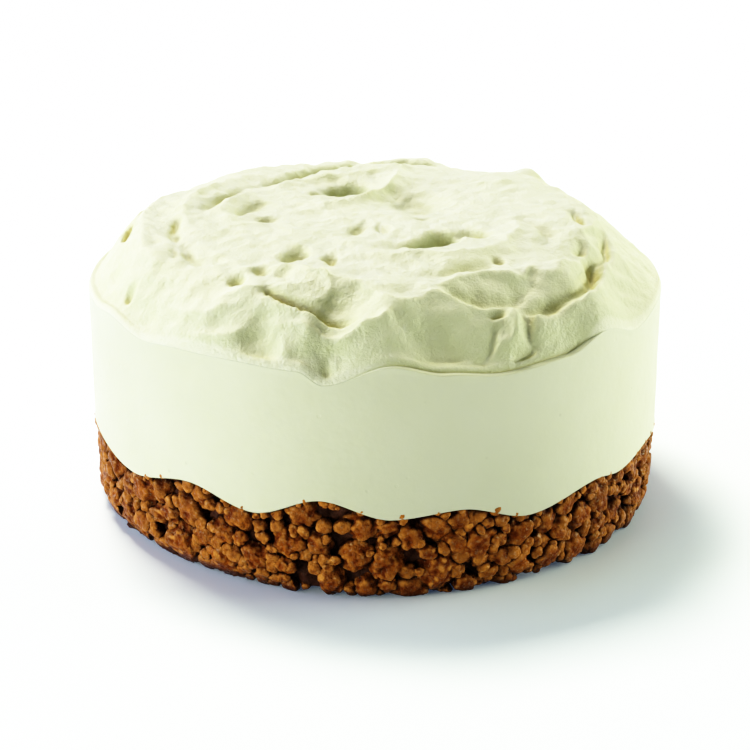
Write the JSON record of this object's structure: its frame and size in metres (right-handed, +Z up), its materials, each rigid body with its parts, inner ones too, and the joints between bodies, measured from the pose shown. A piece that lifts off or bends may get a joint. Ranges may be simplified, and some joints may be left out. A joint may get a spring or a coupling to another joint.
{
  "type": "cheesecake",
  "caption": "A small round cheesecake served whole: a base of coarse baked crumbs, a smooth cream filling and a spooned, swirled whipped topping.",
  "frame": {"origin": "centre of the underside of the crumb base, on the floor plane", "axes": "X across the cake to the right as it is shown, Y from the shown side to the hidden side, Z up from the crumb base to the topping"},
  "size_m": [0.08, 0.08, 0.0418],
  "materials": {
    "baked_crumb": "rough, coarse baked crumbs, matt with a faint fatty sheen",
    "filling_cream": "smooth soft cream, satin",
    "whipped_cream": "soft whipped cream, matt to satin"
  },
  "bodies": {
    "root": {"crumb_base": "baked_crumb", "filling": "filling_cream", "whipped_topping": "whipped_cream"}
  },
  "joints": []
}
